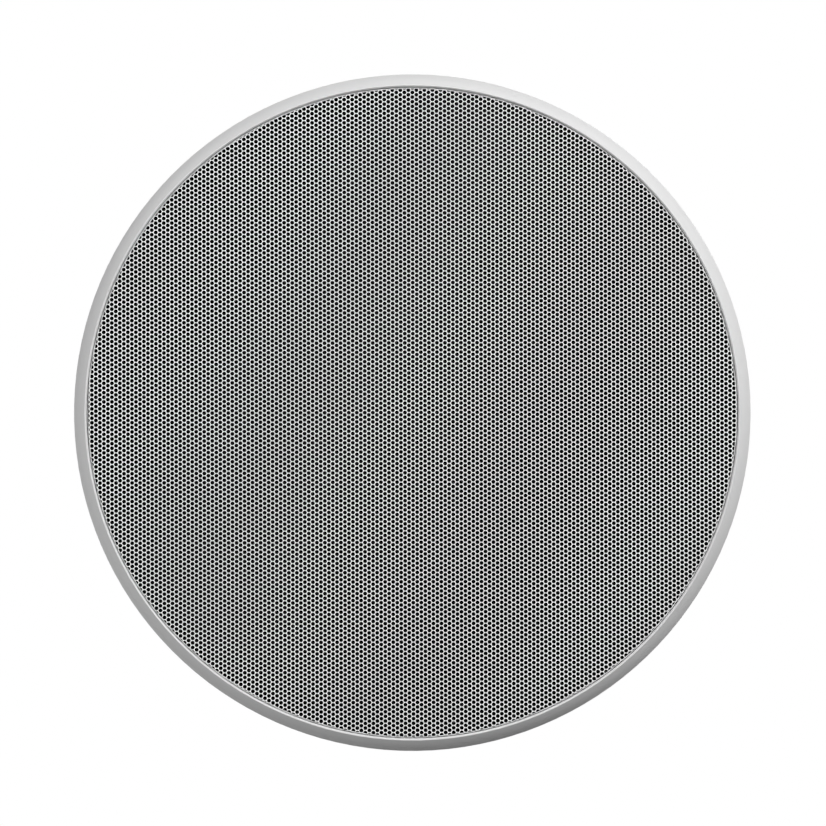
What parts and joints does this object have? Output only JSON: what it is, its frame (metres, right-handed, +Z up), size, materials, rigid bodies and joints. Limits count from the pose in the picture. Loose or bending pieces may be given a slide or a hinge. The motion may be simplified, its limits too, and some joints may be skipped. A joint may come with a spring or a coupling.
{
  "type": "in-ceiling loudspeaker",
  "caption": "Round in-ceiling loudspeaker: slim white rim, flush perforated steel grille, woofer with coaxial tweeter, crossover, push terminals and swing-out ceiling clamps.",
  "frame": {"origin": "on the speaker's axis in the plane of the ceiling, where the rim's back face lies", "axes": "+Z up into the ceiling void along the speaker's axis, grille facing -Z, crossover towards +Y"},
  "size_m": [0.233, 0.233, 0.0828],
  "materials": {
    "rim_white": "smooth satin moulding",
    "grille_white": "satin powder coat",
    "scrim_black": "open knit cloth",
    "nickel": "nickel plate",
    "screw_zinc": "zinc plate",
    "spring_steel": "blued spring steel",
    "baffle_black": "fine grained moulding",
    "dog_grey": "glass-filled nylon",
    "foam_black": "closed-cell foam",
    "basket_black": "black powder coat",
    "surround_rubber": "moulded rubber",
    "cone_black": "filled polypropylene",
    "spider_cloth": "resin-treated cotton",
    "former_film": "amber film",
    "copper": "enamelled wire",
    "plate_zinc": "zinc plate",
    "ferrite": "ground ferrite",
    "tag_board_brown": "phenolic board",
    "tag_brass": "tinned brass",
    "faceplate_black": "fine grained moulding",
    "dome_silk": "coated silk",
    "board_green": "solder mask",
    "bobbin_black": "moulded nylon",
    "capacitor_sleeve": "shrunk sleeve",
    "resistor_cement": "cement body",
    "terminal_black": "moulded nylon",
    "button_red": "moulded",
    "button_black": "moulded"
  },
  "bodies": {
    "speaker": {"rim_ring": "rim_white", "grille": "grille_white", "grille_scrim": "scrim_black", "grille_magnets": "nickel", "tweeter_magnet": "nickel", "rim_screws": "screw_zinc", "woofer_screws": "screw_zinc", "bridge_screws": "screw_zinc", "bracket_screws": "screw_zinc", "board_screws": "screw_zinc", "baffle": "baffle_black", "tweeter_bridge": "baffle_black", "crossover_bracket": "baffle_black", "woofer_gasket": "foam_black", "woofer_basket": "basket_black", "woofer_surround": "surround_rubber", "woofer_spider": "spider_cloth", "tweeter_coil": "copper", "inductor_winding": "copper", "top_plate": "plate_zinc", "magnet_yoke": "plate_zinc", "tweeter_plate": "plate_zinc", "tweeter_cup": "plate_zinc", "magnet_ring": "ferrite", "tag_board": "tag_board_brown", "solder_tags": "tag_brass", "terminal_pins": "tag_brass", "tweeter_faceplate": "faceplate_black", "tweeter_dome": "dome_silk", "crossover_board": "board_green", "inductor_bobbin": "bobbin_black", "capacitors": "capacitor_sleeve", "resistor": "resistor_cement", "terminal_block": "terminal_black"},
    "cone": {"woofer_cone": "cone_black", "woofer_dust_cap": "cone_black", "coil_former": "former_film", "voice_coil": "copper"},
    "button_red": {"terminal_button_red": "button_red"},
    "button_black": {"terminal_button_black": "button_black"},
    "clamp_screw_1": {"clamp_screw_1": "screw_zinc", "clamp_clip_1": "spring_steel"},
    "clamp_dog_1": {"clamp_dog_1": "dog_grey"},
    "clamp_screw_2": {"clamp_screw_2": "screw_zinc", "clamp_clip_2": "spring_steel"},
    "clamp_dog_2": {"clamp_dog_2": "dog_grey"},
    "clamp_screw_3": {"clamp_screw_3": "screw_zinc", "clamp_clip_3": "spring_steel"},
    "clamp_dog_3": {"clamp_dog_3": "dog_grey"},
    "clamp_screw_4": {"clamp_screw_4": "screw_zinc", "clamp_clip_4": "spring_steel"},
    "clamp_dog_4": {"clamp_dog_4": "dog_grey"}
  },
  "joints": [
    {"name": "clamp_1_swing", "type": "hinge", "parent": "speaker", "child": "clamp_screw_1", "pos_m": [0.06505, 0.06505, 0.008], "axis": [0, 0, 1], "range_deg": [0, 90]},
    {"name": "clamp_1_draw", "type": "slide", "parent": "clamp_screw_1", "child": "clamp_dog_1", "axis": [0, 0, 1], "range_m": [-0.0365, 0]},
    {"name": "clamp_2_swing", "type": "hinge", "parent": "speaker", "child": "clamp_screw_2", "pos_m": [-0.06505, 0.06505, 0.008], "axis": [0, 0, 1], "range_deg": [0, 90]},
    {"name": "clamp_2_draw", "type": "slide", "parent": "clamp_screw_2", "child": "clamp_dog_2", "axis": [0, 0, 1], "range_m": [-0.0365, 0]},
    {"name": "clamp_3_swing", "type": "hinge", "parent": "speaker", "child": "clamp_screw_3", "pos_m": [-0.06505, -0.06505, 0.008], "axis": [0, 0, 1], "range_deg": [0, 90]},
    {"name": "clamp_3_draw", "type": "slide", "parent": "clamp_screw_3", "child": "clamp_dog_3", "axis": [0, 0, 1], "range_m": [-0.0365, 0]},
    {"name": "clamp_4_swing", "type": "hinge", "parent": "speaker", "child": "clamp_screw_4", "pos_m": [0.06505, -0.06505, 0.008], "axis": [0, 0, 1], "range_deg": [0, 90]},
    {"name": "clamp_4_draw", "type": "slide", "parent": "clamp_screw_4", "child": "clamp_dog_4", "axis": [0, 0, 1], "range_m": [-0.0365, 0]},
    {"name": "cone_travel", "type": "slide", "parent": "speaker", "child": "cone", "axis": [0, 0, 1], "range_m": [-0.004, 0.004], "stiffness_N_per_m": 1250, "deforming": ["woofer_surround", "woofer_spider"]},
    {"name": "red_push", "type": "slide", "parent": "speaker", "child": "button_red", "axis": [0, 0, 1], "range_m": [-0.0025, 0], "stiffness_N_per_m": 600},
    {"name": "black_push", "type": "slide", "parent": "speaker", "child": "button_black", "axis": [0, 0, 1], "range_m": [-0.0025, 0], "stiffness_N_per_m": 600}
  ]
}
